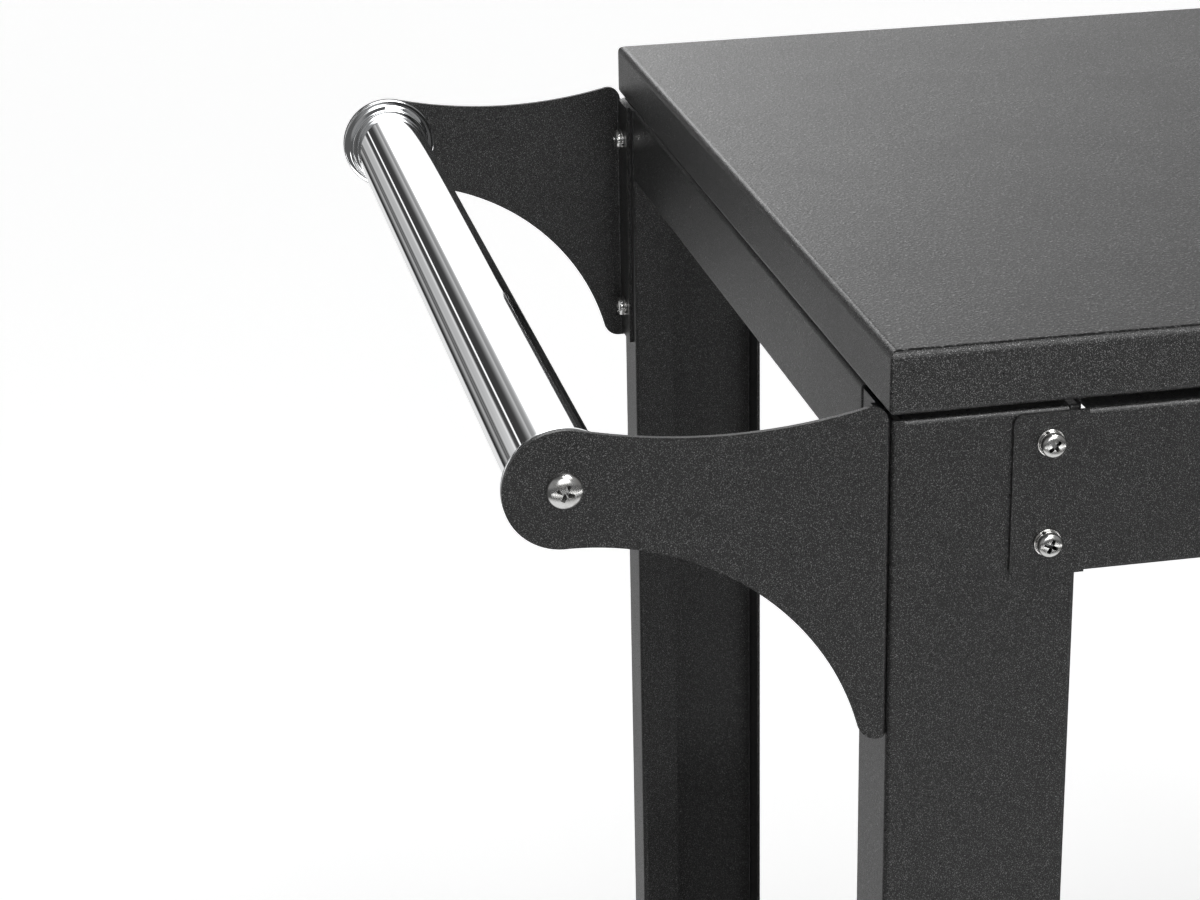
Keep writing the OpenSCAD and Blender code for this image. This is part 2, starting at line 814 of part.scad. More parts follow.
module shelf_nuts() {
    color(ZINC) for (c = CORNERS) corner(c[0], c[1]) at_shelf_screws(c[1])
        translate([0, 0, -sheet_t - nut_h]) frame_nut();
}

// Casters

module caster_stem() {
    skirt_t = 1.5;
    rivet_t = 3;
    rivet_z = fork_top - fork_t - move_gap - rivet_t;
    top = leg_bottom + stem_nut_h + 3;
    rotate_extrude() {
        translate([0, rivet_z]) square([king_d / 2, race_z - rivet_z]);
        translate([0, rivet_z]) square([king_d / 2 + 4, rivet_t]);
        translate([0, race_z]) square([race_d / 2, caster_h - race_z]);
        translate([race_d / 2 - skirt_t, ring_z]) square([skirt_t, caster_h - ring_z]);
        translate([0, race_z]) square([stem_d / 2, top - race_z]);
    }
}

module caster_stems() {
    color(ZINC) for (c = CORNERS) at_caster(c[0], c[1]) caster_stem();
}

module caster_stem_nuts() {
    color(ZINC) for (c = CORNERS) at_caster(c[0], c[1]) translate([0, 0, leg_bottom])
        hex_nut(stem_nut_w, stem_nut_h, stem_d + 0.1);
}

module caster_bearing_rings() {
    color(DARK) for (c = CORNERS) at_caster(c[0], c[1]) translate([0, 0, ring_z])
        difference() {
            cylinder(d = race_d - 6, h = race_z - ring_z);
            translate([0, 0, -1]) cylinder(d = king_d + 4, h = race_z - ring_z + 2);
        }
}

module fork_fold() {
    t = fork_t;
    r = fork_bend_r;
    foot = wheel_r - fork_eye_r;
    translate([-fork_outer + r, fork_top - t]) square([2 * (fork_outer - r), t]);
    for (s = [0, 1]) mirror([s, 0]) {
        translate([fork_outer - r, fork_top - r]) quarter_bend(r, t);
        translate([fork_inner, foot]) square([t, fork_top - r - foot]);
    }
}

module fork_outline(brake) {
    tapered_link([-2, fork_top - shoulder_r], shoulder_r, [-trail, wheel_r], fork_eye_r);
    if (brake) tapered_link([-10, brake_z], 9, [brake_x, brake_z], 6);
}

module fork(sx, sy) {
    brake = sx < 0;
    color(ZINC) at_caster(sx, sy) difference() {
        intersection() {
            along_x(-60, 100) fork_fold();
            union() {
                along_y(-fork_outer, 2 * fork_outer) fork_outline(brake);
                translate([-fork_l / 2, -fork_outer, fork_top - shoulder_r])
                    cube([fork_l, 2 * fork_outer, shoulder_r]);
            }
        }
        translate([0, 0, fork_top - fork_t - 1]) cylinder(d = king_d + 2 * run_gap, h = fork_t + 2);
        translate([-trail, -fork_outer - 1, wheel_r]) facing_back()
            cylinder(d = axle_d + 2 * run_gap, h = 2 * fork_outer + 2);
        if (brake) translate([brake_x, -fork_outer - 1, brake_z]) facing_back()
            cylinder(d = brake_pin_d + 2 * run_gap, h = 2 * fork_outer + 2);
    }
}

module fork_front_left() { fork(-1, -1); }
module fork_front_right() { fork(1, -1); }
module fork_rear_left() { fork(-1, 1); }
module fork_rear_right() { fork(1, 1); }

module axle(sx, sy) {
    head_w = 13;
    head_t = 5;
    tail = 2;
    color(ZINC) at_caster(sx, sy) translate([-trail, 0, wheel_r]) facing_front() {
        translate([0, 0, fork_outer]) hex_nut(head_w, head_t, axle_d - 2);
        translate([0, 0, -fork_outer - head_t]) hex_nut(head_w, head_t, axle_d - 2);
        translate([0, 0, -fork_outer - head_t - tail]) cylinder(d = axle_d, h = 2 * fork_outer + 2 * head_t + tail);
    }
}

module axle_front_left() { axle(-1, -1); }
module axle_front_right() { axle(1, -1); }
module axle_rear_left() { axle(-1, 1); }
module axle_rear_right() { axle(1, 1); }

module at_wheel(sx, sy) {
    at_caster(sx, sy) translate([-trail, 0, wheel_r]) facing_back() children();
}

module tyre(sx, sy) {
    edge_r = 4;
    half = tyre_w / 2;
    color(DARK) at_wheel(sx, sy) rotate_extrude() difference() {
        union() {
            translate([0, -half]) square([wheel_r - edge_r, tyre_w]);
            translate([0, edge_r - half]) square([wheel_r, tyre_w - 2 * edge_r]);
            for (s = [-1, 1]) translate([wheel_r - edge_r, s * (half - edge_r)]) circle(edge_r);
        }
        translate([-1, -half - 1]) square([wheel_r - tyre_t + 1, tyre_w + 2]);
    }
}

module tyre_front_left() { tyre(-1, -1); }
module tyre_front_right() { tyre(1, -1); }
module tyre_rear_left() { tyre(-1, 1); }
module tyre_rear_right() { tyre(1, 1); }

module hub(sx, sy) {
    rim_r = wheel_r - tyre_t;
    rim_half = tyre_w / 2 - 1.5;
    boss_r = axle_d / 2 + 5;
    boss_half = fork_inner - move_gap;
    hole_r = (rim_r - boss_r) / 5;
    color(GREY) at_wheel(sx, sy) difference() {
        rotate_extrude() difference() {
            union() {
                translate([0, -3]) square([rim_r, 6]);
                translate([0, -boss_half]) square([boss_r, 2 * boss_half]);
                translate([rim_r - 3, -rim_half]) square([3, 2 * rim_half]);
            }
            translate([-1, -boss_half - 1]) square([axle_d / 2 + run_gap + 1, 2 * boss_half + 2]);
        }
        for (i = [0 : 4]) rotate(72 * i) translate([(rim_r - 3 + boss_r) / 2, 0, -10]) cylinder(r = hole_r, h = 20);
    }
}

module hub_front_left() { hub(-1, -1); }
module hub_front_right() { hub(1, -1); }
module hub_rear_left() { hub(-1, 1); }
module hub_rear_right() { hub(1, 1); }

// Brake: at rest the pedal points up and out, and the cam under its pin clears the tyre

module pedal_arm() {
    barrel_r = brake_pin_d / 2 + 2.3;
    lift = brake_travel / 2;
    tip = polar(pedal_l, 180 - lift);
    circle(barrel_r);
    tapered_link([0, 0], barrel_r, polar(cam_reach - 2.2, wheel_dir - brake_travel), 2.2);
    tapered_link([0, 1.5], 2.5, tip, 1.4);
    tapered_link(tip, 1.4, tip + [-5, -3], 1.4);
}

module brake_pedal(sy) {
    color(DARK) at_caster(-1, sy) translate([brake_x, 0, brake_z]) difference() {
        union() {
            along_y(-fork_inner + 1, 2 * fork_inner - 2) pedal_arm();
            along_y(-fork_outer, 2 * fork_outer) intersection() {
                pedal_arm();
                translate([-pedal_l - 20, -20]) square([pedal_l + 6, 60]);
            }
        }
        translate([0, -fork_outer - 1, 0]) facing_back()
            cylinder(d = brake_pin_d + 2 * run_gap, h = 2 * fork_outer + 2);
    }
}

module brake_pedal_front() { brake_pedal(-1); }
module brake_pedal_rear() { brake_pedal(1); }

module brake_pin(sy) {
    color(ZINC) at_caster(-1, sy) translate([brake_x, 0, brake_z]) facing_back() {
        translate([0, 0, -fork_outer - 1.5]) cylinder(d = brake_pin_d + 3, h = 1.5);
        translate([0, 0, -fork_outer - 1.5]) cylinder(d = brake_pin_d, h = 2 * fork_outer + 3);
        translate([0, 0, fork_outer]) cylinder(d = brake_pin_d + 3, h = 1.5);
    }
}

module brake_pin_front() { brake_pin(-1); }
module brake_pin_rear() { brake_pin(1); }

tabletop();
tabletop_stiffeners();
tabletop_screws();
tabletop_nuts();
leg_front_left();
leg_front_right();
leg_rear_left();
leg_rear_right();
foot_plates();
front_rail();
rear_rail();
rail_screws();
rail_lock_washers();
rail_flat_washers();
rail_nuts();
left_apron();
right_apron();
apron_screws();
apron_nuts();
handle_bracket_front();
handle_bracket_rear();
bracket_screws();
bracket_lock_washers();
bracket_nuts();
handle_tube();
handle_collars();
handle_end_plugs();
handle_screws();
lower_shelf();
shelf_stiffeners();
shelf_screws();
shelf_nuts();
caster_stems();
caster_stem_nuts();
caster_bearing_rings();
fork_front_left();
fork_front_right();
fork_rear_left();
fork_rear_right();
axle_front_left();
axle_front_right();
axle_rear_left();
axle_rear_right();
hub_front_left();
hub_front_right();
hub_rear_left();
hub_rear_right();
tyre_front_left();
tyre_front_right();
tyre_rear_left();
tyre_rear_right();
brake_pedal_front();
brake_pedal_rear();
brake_pin_front();
brake_pin_rear();
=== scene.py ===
import json
import math
import bmesh
import bpy
from mathutils import Matrix, Vector


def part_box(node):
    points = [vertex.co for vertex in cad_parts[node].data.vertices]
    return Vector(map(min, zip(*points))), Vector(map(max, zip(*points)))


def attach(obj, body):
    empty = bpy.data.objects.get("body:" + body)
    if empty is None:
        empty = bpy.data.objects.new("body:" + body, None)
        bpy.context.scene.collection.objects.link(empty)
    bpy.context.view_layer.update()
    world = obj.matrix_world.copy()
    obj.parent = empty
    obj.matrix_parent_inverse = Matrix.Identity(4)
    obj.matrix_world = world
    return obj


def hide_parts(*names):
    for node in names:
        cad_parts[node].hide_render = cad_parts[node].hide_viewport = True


# Sizes are in metres and angles in degrees, unless a note says otherwise

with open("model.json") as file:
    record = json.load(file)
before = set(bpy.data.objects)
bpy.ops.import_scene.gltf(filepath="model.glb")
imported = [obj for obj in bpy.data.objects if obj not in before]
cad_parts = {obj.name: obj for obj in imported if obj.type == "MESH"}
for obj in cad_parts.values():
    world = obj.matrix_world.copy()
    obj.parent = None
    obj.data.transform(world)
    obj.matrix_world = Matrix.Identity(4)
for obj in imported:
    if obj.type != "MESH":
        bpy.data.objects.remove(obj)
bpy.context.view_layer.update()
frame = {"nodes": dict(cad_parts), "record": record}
nodes = frame["nodes"]
scene = bpy.context.scene

bodyOf = {}
for bodyName, members in frame["record"]["behaviour"]["bodies"].items():
    for member in members:
        bodyOf[member] = bodyName


# Camera: where the photograph was taken from

shot = {
    "position": (-0.65651, -1.23383, 1.22199),
    "yaw": 10.8641,
    "pitch": 21.2966,
    "roll": -1.2158,
    "focalPixels": 2928.8,
    "imageWidth": 1200.0,
    "sensorWidth": 36.0,
    "clipStart": 0.05,
    "clipEnd": 60.0,
}


def turn(angle, first, second):
    c, s = math.cos(math.radians(angle)), math.sin(math.radians(angle))
    m = Matrix.Identity(3)
    m[first][first], m[first][second] = c, -s
    m[second][first], m[second][second] = s, c
    return m


def makeCamera():
    lookAhead = Matrix(((1, 0, 0), (0, 0, -1), (0, 1, 0)))    # image axes: right, down, ahead
    rows = turn(shot["roll"], 0, 1) @ turn(shot["pitch"], 1, 2) @ lookAhead @ turn(shot["yaw"], 0, 1)
    axes = Matrix((rows[0], -Vector(rows[1]), -Vector(rows[2]))).transposed()
    data = bpy.data.cameras.new("camera")
    data.sensor_fit = "HORIZONTAL"
    data.sensor_width = shot["sensorWidth"]
    data.lens = shot["sensorWidth"] * shot["focalPixels"] / shot["imageWidth"]
    data.clip_start = shot["clipStart"]
    data.clip_end = shot["clipEnd"]
    camera = bpy.data.objects.new("camera", data)
    camera.matrix_world = Matrix.Translation(shot["position"]) @ axes.to_4x4()
    scene.collection.objects.link(camera)
    scene.camera = camera


makeCamera()
print("camera placed")


# Node trees, for materials, sky and shapes alike

class Wire:    # an output socket that stands in Python expressions
    def __init__(self, board, socket):
        self.board = board
        self.socket = socket

    def withMath(self, operation, first, second):
        return self.board.maths(operation, first, second)

    def __add__(self, other):
        return self.withMath("ADD", self, other)

    def __radd__(self, other):
        return self.withMath("ADD", other, self)

    def __sub__(self, other):
        return self.withMath("SUBTRACT", self, other)

    def __rsub__(self, other):
        return self.withMath("SUBTRACT", other, self)

    def __mul__(self, other):
        return self.withMath("MULTIPLY", self, other)

    def __rmul__(self, other):
        return self.withMath("MULTIPLY", other, self)

    def __truediv__(self, other):
        return self.withMath("DIVIDE", self, other)

    def __rtruediv__(self, other):
        return self.withMath("DIVIDE", other, self)

    def __pow__(self, other):
        return self.withMath("POWER", self, other)

    def __rpow__(self, other):
        return self.withMath("POWER", other, self)

    def __gt__(self, other):
        return self.withMath("GREATER_THAN", self, other)

    def __lt__(self, other):
        return self.withMath("LESS_THAN", self, other)


class Board:    # the nodes of one tree
    def __init__(self, tree):
        self.tree = tree
        self.tree.nodes.clear()

    def add(self, kind, settings=None, values=None, out=0):
        node = self.tree.nodes.new(kind)
        for key, value in (settings or {}).items():
            if key == "stops":
                for index, (position, level) in enumerate(value):
                    ramp = node.color_ramp.elements
                    stop = ramp[index] if index < len(ramp) else ramp.new(position)
                    stop.position = position
                    stop.color = (level, level, level, 1)
            else:
                setattr(node, key, value)
        pairs = values.items() if isinstance(values, dict) else enumerate(values or [])
        for key, value in pairs:
            for part in value if isinstance(value, list) else [value]:    # a list joins several
                if isinstance(part, Wire):
                    self.tree.links.new(part.socket, node.inputs[key])
                elif part is not None:
                    node.inputs[key].default_value = part
        return Wire(self, node.outputs[out]) if node.outputs else None

    def maths(self, operation, *values):
        return self.add("ShaderNodeMath", {"operation": operation}, values)

    def parts(self, vector):
        node = self.add("ShaderNodeSeparateXYZ", None, [vector]).socket.node
        return [Wire(self, node.outputs[axis]) for axis in range(3)]

    def joined(self, x, y, z):
        return self.add("ShaderNodeCombineXYZ", None, [x, y, z])

    def step(self, value, low, high):
        return self.add("ShaderNodeMapRange", {"interpolation_type": "SMOOTHSTEP"}, {
            "Value": value, "From Min": low, "From Max": high, "To Min": 0.0, "To Max": 1.0})

    def noise(self, size, detail=2.0):
        return self.add("ShaderNodeTexNoise", None, {
            "Vector": self.place, "Scale": 1 / size, "Detail": detail, "Roughness": 0.5})

    def ramp(self, value, *stops):
        return self.add("ShaderNodeValToRGB", {"stops": stops}, [value])

    def blend(self, amount, first, second):
        return self.add("ShaderNodeMix", {"data_type": "RGBA"}, {0: amount, 6: first, 7: second}, out=2)

    def bump(self, height, depth, strength, normal=None):
        return self.add("ShaderNodeBump", None, {
            "Strength": strength, "Distance": depth, "Height": height, "Normal": normal})

    def finish(self, kind, output, values):
        shader = self.add(kind, None, values)
        self.tree.links.new(shader.socket, self.tree.nodes.new(output).inputs["Surface"])


def rgb(r, g=None, b=None):
    return (r, r if g is None else g, r if b is None else b, 1)


# Materials

grainTurn = (0.52, 0.71, 0.33)    # radians; turns every noise off the flat faces, which would slice it


def materialBoard(name):
    material = bpy.data.materials.new(name)
    material.use_nodes = True
    board = Board(material.node_tree)
    board.material = material
    board.object = board.add("ShaderNodeTexCoord", out="Object")
    board.place = board.add("ShaderNodeMapping", None, {"Vector": board.object, "Rotation": grainTurn})
    return board


def surface(board, values):
    board.finish("ShaderNodeBsdfPrincipled", "ShaderNodeOutputMaterial", values)
    return board.material


frameCoat = {
    "colour": 0.005,
    "fleckColour": 0.19,
    "fleckMetal": 0.5,
    "fleckFrom": 0.56,
    "fleckTo": 0.74,
    "roughness": 0.31,
    "grain": 0.0004,
    "grainDepth": 0.00013,
    "grainBump": 0.9,
    "peel": 0.0013,
    "peelDepth": 0.00005,
    "peelBump": 0.8,
    "peelRoughness": 0.2,
    "cloud": 0.05,
    "cloudRoughness": 0.06,
    "specular": 0.5,
    "ior": 1.5,
}
topCoat = dict(frameCoat, colour=0.006, fleckColour=0.24, grainDepth=0.00022,
               topGrain=0.001, flatFrom=0.8, flatTo=0.95)    # coarser where it lies flat


def powderCoat(name, coat):
    board = materialBoard(name)
    grain = board.noise(coat["grain"], detail=1.0)
    if "topGrain" in coat:
        facing = board.parts(board.add("ShaderNodeNewGeometry", out="Normal"))[2]
        flat = board.step(facing, coat["flatFrom"], coat["flatTo"])
        grain = grain * (1 - flat) + board.noise(coat["topGrain"]) * flat
    peel = board.noise(coat["peel"])
    cloud = board.noise(coat["cloud"], detail=3.0)
    fleck = board.ramp(grain, (coat["fleckFrom"], 0.0), (coat["fleckTo"], 1.0))
    colour = board.blend(fleck, rgb(coat["colour"]), rgb(coat["fleckColour"]))
    unevenness = (cloud - 0.5) * coat["cloudRoughness"] + (peel - 0.5) * coat["peelRoughness"]
    soft = board.bump(peel, coat["peelDepth"], coat["peelBump"])
    rough = board.bump(grain, coat["grainDepth"], coat["grainBump"], soft)
    return surface(board, {
        "Base Color": colour, "Roughness": unevenness + coat["roughness"], "Normal": rough,
        "Metallic": fleck * coat["fleckMetal"], "Specular IOR Level": coat["specular"], "IOR": coat["ior"]})


chromePlate = {
    "colour": rgb(0.9, 0.91, 0.92),
    "roughness": 0.03,
    "smudge": 0.035,
    "smudgeFrom": 0.45,
    "smudgeTo": 0.75,
    "smudgeRoughness": 0.03,
    "ripple": 0.02,
    "rippleDepth": 0.00002,
    "rippleBump": 0.4,
}
zincPlate = {
    "colour": rgb(0.80, 0.80, 0.79),
    "stainColour": rgb(0.60, 0.59, 0.57),
    "stain": 0.004,
    "stainFrom": 0.4,
    "stainTo": 0.7,
    "stainRoughness": 0.18,
    "grain": 0.0004,
    "grainDepth": 0.00002,
    "grainBump": 0.6,
    "grainRoughness": 0.1,
    "roughness": 0.2,
    "recess": rgb(0.12),    # painted shade: near black at the bottom of a screw's cross
    "paintedShadeFullAt": 0.5,
}
casterZinc = dict(zincPlate, colour=rgb(0.55, 0.56, 0.57), stainColour=rgb(0.40, 0.40, 0.41),
                  roughness=0.33, recess=None)
ballSteel = dict(casterZinc, colour=rgb(0.6), stainColour=rgb(0.35, 0.33, 0.3), roughness=0.12)


def polishedChrome(name, plate):
    board = materialBoard(name)
    smudge = board.noise(plate["smudge"], detail=3.0)
    haze = board.ramp(smudge, (plate["smudgeFrom"], 0.0), (plate["smudgeTo"], 1.0))
    ripple = board.noise(plate["ripple"], detail=1.0)
    return surface(board, {
        "Base Color": plate["colour"], "Metallic": 1.0,
        "Roughness": haze * plate["smudgeRoughness"] + plate["roughness"],
        "Normal": board.bump(ripple, plate["rippleDepth"], plate["rippleBump"])})


def platedSteel(name, plate):
    board = materialBoard(name)
    stain = board.noise(plate["stain"], detail=3.0)
    grain = board.noise(plate["grain"])
    dull = board.ramp(stain, (plate["stainFrom"], 0.0), (plate["stainTo"], 1.0))
    colour = board.blend(dull, plate["colour"], plate["stainColour"])
    if plate["recess"]:
        # painted shade: the plating darkens towards the recess colour as the depth attribute grows inside a
        # screw's cross
        depth = board.add("ShaderNodeAttribute", {"attribute_name": "depth"}, out=2)
        colour = board.blend(board.step(depth, 0.0, plate["paintedShadeFullAt"]), colour, plate["recess"])
    unevenness = (stain - 0.5) * plate["stainRoughness"] + (grain - 0.5) * plate["grainRoughness"]
    return surface(board, {
        "Base Color": colour, "Metallic": 1.0, "Roughness": unevenness + plate["roughness"],
        "Normal": board.bump(grain, plate["grainDepth"], plate["grainBump"])})


hubPlastic = {
    "colour": 0.1,
    "dustColour": 0.16,
    "dust": 0.6,    # its share where it lies thickest
    "dustFrom": 0.4,
    "dustTo": 0.75,
    "cloud": 0.018,
    "cloudRoughness": 0.16,
    "roughness": 0.5,
    "grain": 0.0006,
    "grainDepth": 0.00003,
    "grainBump": 0.8,
    "grainRoughness": 0.1,
}
plugPlastic = dict(hubPlastic, colour=0.06, dustColour=0.1)
tyreRubber = dict(hubPlastic, colour=0.018, dustColour=0.06, roughness=0.62, grain=0.0009, grainDepth=0.00005)
pedalPlastic = dict(hubPlastic, colour=0.02, dustColour=0.04, roughness=0.45, grain=0.0005,
                    grainDepth=0.00004)


def mouldedPlastic(name, plastic):
    board = materialBoard(name)
    grain = board.noise(plastic["grain"])
    cloud = board.noise(plastic["cloud"], detail=3.0)
    dusty = board.ramp(cloud, (plastic["dustFrom"], 0.0), (plastic["dustTo"], plastic["dust"]))
    colour = board.blend(dusty, rgb(plastic["colour"]), rgb(plastic["dustColour"]))
    unevenness = (cloud - 0.5) * plastic["cloudRoughness"] + (grain - 0.5) * plastic["grainRoughness"]
    return surface(board, {
        "Base Color": colour, "Roughness": unevenness + plastic["roughness"],
        "Normal": board.bump(grain, plastic["grainDepth"], plastic["grainBump"])})


materials = {
    "top_coat": powderCoat("topCoat", topCoat),
    "frame_coat": powderCoat("frameCoat", frameCoat),
    "chrome": polishedChrome("chromePlate", chromePlate),
    "zinc": platedSteel("zincPlate", zincPlate),
    "caster_steel": platedSteel("casterZinc", casterZinc),
    "bearing_steel": platedSteel("ballSteel", ballSteel),
    "hub_plastic": mouldedPlastic("hubPlastic", hubPlastic),
    "tyre": mouldedPlastic("tyreRubber", tyreRubber),
    "pedal_plastic": mouldedPlastic("pedalPlastic", pedalPlastic),
    "plug_plastic": mouldedPlastic("plugPlastic", plugPlastic),
}
slotOf = {row["node"]: row["material_slot"] for row in frame["record"]["subparts"]}

for nodeName, node in nodes.items():
    node.data.materials.clear()
    node.data.materials.append(materials[slotOf[nodeName]])
print("materials assigned:", len(materials))


# Pieces

weldDistance = 0.000002    # the frame's meshes are loose triangles, so a copy is merged first


def addPiece(name, mesh, like, replaced=True):
    piece = bpy.data.objects.new(name, mesh)
    scene.collection.objects.link(piece)
    mesh.materials.clear()
    mesh.materials.append(materials[slotOf[like]])
    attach(piece, bodyOf[like])
    if replaced:
        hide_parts(like)
    return piece


def smoothByAngle(mesh, degrees):
    limit = math.radians(degrees)
    work = bmesh.new()
    work.from_mesh(mesh)
    for face in work.faces:
        face.smooth = True
    for edge in work.edges:
        edge.smooth = len(edge.link_faces) == 2 and edge.calc_face_angle(0) < limit
    work.to_mesh(mesh)
    work.free()


def evaluated(draft):
    bpy.context.view_layer.update()
    mesh = bpy.data.meshes.new_from_object(draft.evaluated_get(bpy.context.evaluated_depsgraph_get()))
    bpy.data.objects.remove(draft)
    return mesh


# Parts with their cut edges broken, as coating or plating leaves them

edgeWork = {
    "steps": 2,
    "sharperThan": 28.0,
    "flatWithin": 0.4,
    "smoothBelow": 50,
}
sheetEdges = {
    "width": 0.00035,    # at most: the smallest bend of a part holds it back
    "pieces": [
        "tabletop", "leg_front_left", "leg_front_right", "leg_rear_left", "leg_rear_right",
        "front_rail", "rear_rail", "left_apron", "right_apron",
        "handle_bracket_front", "handle_bracket_rear", "lower_shelf", "foot_plates",
        "tabletop_stiffeners", "shelf_stiffeners",
        "fork_front_left", "fork_front_right", "fork_rear_left", "fork_rear_right",
        "brake_pedal_front", "brake_pedal_rear",
    ],
}
fastenerEdges = {
    "width": 0.00018,
    "pieces": [
        "rail_flat_washers", "rail_lock_washers", "bracket_lock_washers",
        "rail_nuts", "apron_nuts", "shelf_nuts", "tabletop_nuts", "bracket_nuts", "caster_stem_nuts",
        "axle_front_left", "axle_front_right", "axle_rear_left", "axle_rear_right",
        "hub_front_left", "hub_front_right", "hub_rear_left", "hub_rear_right",
        "caster_stems", "brake_pin_front", "brake_pin_rear",
    ],
}


def breakEdges(nodeName, width):
    mesh = nodes[nodeName].data.copy()
    mesh.name = nodeName + "_finished"
    work = bmesh.new()
    work.from_mesh(mesh)
    bmesh.ops.remove_doubles(work, verts=work.verts, dist=weldDistance)
    flat = math.radians(edgeWork["flatWithin"])
    bmesh.ops.dissolve_limit(work, angle_limit=flat, verts=work.verts, edges=work.edges)
    work.to_mesh(mesh)
    work.free()
    draft = bpy.data.objects.new("draft", mesh)
    scene.collection.objects.link(draft)
    bevel = draft.modifiers.new("edges", "BEVEL")
    bevel.width = width
    bevel.segments = edgeWork["steps"]
    bevel.limit_method = "ANGLE"
    bevel.angle_limit = math.radians(edgeWork["sharperThan"])
    bevel.miter_outer = "MITER_ARC"
    bevel.use_clamp_overlap = True
    done = evaluated(draft)
    smoothByAngle(done, edgeWork["smoothBelow"])
    draft = bpy.data.objects.new("draft", done)
    scene.collection.objects.link(draft)
    even = draft.modifiers.new("flatShading", "WEIGHTED_NORMAL")    # broad faces keep their own direction
    even.keep_sharp = True
    addPiece(nodeName + "_finished", evaluated(draft), nodeName)


for look in (sheetEdges, fastenerEdges):
    for nodeName in look["pieces"]:
        breakEdges(nodeName, look["width"])
    print("edges broken on", len(look["pieces"]), "parts")


# Shape trees: a carrier of points, and a part on each

def shapeTree(name, sizes):
    tree = bpy.data.node_groups.new(name, "GeometryNodeTree")
    board = Board(tree)
    tree.interface.new_socket(name="Points", in_out="INPUT", socket_type="NodeSocketGeometry")
    tree.interface.new_socket(name="Shape", in_out="OUTPUT", socket_type="NodeSocketGeometry")
    for label, size in sizes.items():
        socket = tree.interface.new_socket(name=label, in_out="INPUT", socket_type="NodeSocketFloat")
        socket.default_value = size
    entry = board.add("NodeGroupInput").socket.node
    board.sizes = {socket.name: Wire(board, socket) for socket in entry.outputs if socket.name}
    return board


def placeOnPoints(board, shape, turned, material):
    spread = board.add("GeometryNodeInstanceOnPoints", None, {
        "Points": board.sizes["Points"], "Instance": shape, "Rotation": turned})
    real = board.add("GeometryNodeRealizeInstances", None, [spread])
    coated = board.add("GeometryNodeSetMaterial", None, {"Geometry": real, "Material": material})
    board.add("NodeGroupOutput", None, [coated])


def grow(board, points, sizes, attributes=None):
    mesh = bpy.data.meshes.new("points")
    mesh.from_pydata([tuple(p) for p in points], [], [])
    for label, vectors in (attributes or {}).items():
        data = mesh.attributes.new(label, "FLOAT_VECTOR", "POINT").data
        for index, vector in enumerate(vectors):
            data[index].vector = vector
    draft = bpy.data.objects.new("draft", mesh)
    scene.collection.objects.link(draft)
    modifier = draft.modifiers.new("shape", "NODES")
    modifier.node_group = board.tree
    for item in board.tree.interface.items_tree:
        if item.in_out == "INPUT" and item.name in sizes:
            modifier[item.identifier] = sizes[item.name]
    return evaluated(draft)


# Screws: a domed head with a crossed recess, and a threaded shank

panHead = {
    "headHeight": 0.0032,
    "rim": 0.0010,
    "roundness": 0.62,
    "recess": 0.006,
    "recessDepth": 0.0024,
    "bladeWidth": 0.0015,
    "pitch": 0.001,
    "threadDepth": 0.00045,
    "paintedRecessShade": 1.0,    # how dark the painted shade at the bottom of the recess is
}
trussHead = dict(panHead, headHeight=0.0038, rim=0.0006, roundness=0.86, recess=0.0072,
                 recessDepth=0.0026, bladeWidth=0.0017, pitch=0.00125, paintedRecessShade=0.37)
crossForm = {
    "around": 49,
    "along": 25,
    "rimSlack": 0.02,    # radians; takes in the dome's last row of points
    "weld": 0.00001,
    "bladeTaper": 0.45,
    "bladeTurn": 0.5,    # so that no blade lies along the grid
    "pitSides": 12,
    "pitRadius": 0.2,    # of the recess's width
    "pitDepth": 1.9,    # of its depth
    "shadeReach": 0.6,    # of its width; how far out from the axis the painted shade reaches
    "shankSides": 24,
    "shankRings": 56,
    "spinSeed": 7,
    "smoothBelow": 35,
}
screwSets = {
    "rail_screws": panHead,
    "bracket_screws": panHead,
    "apron_screws": panHead,
    "shelf_screws": panHead,
    "tabletop_screws": panHead,
    "handle_screws": trussHead,
}


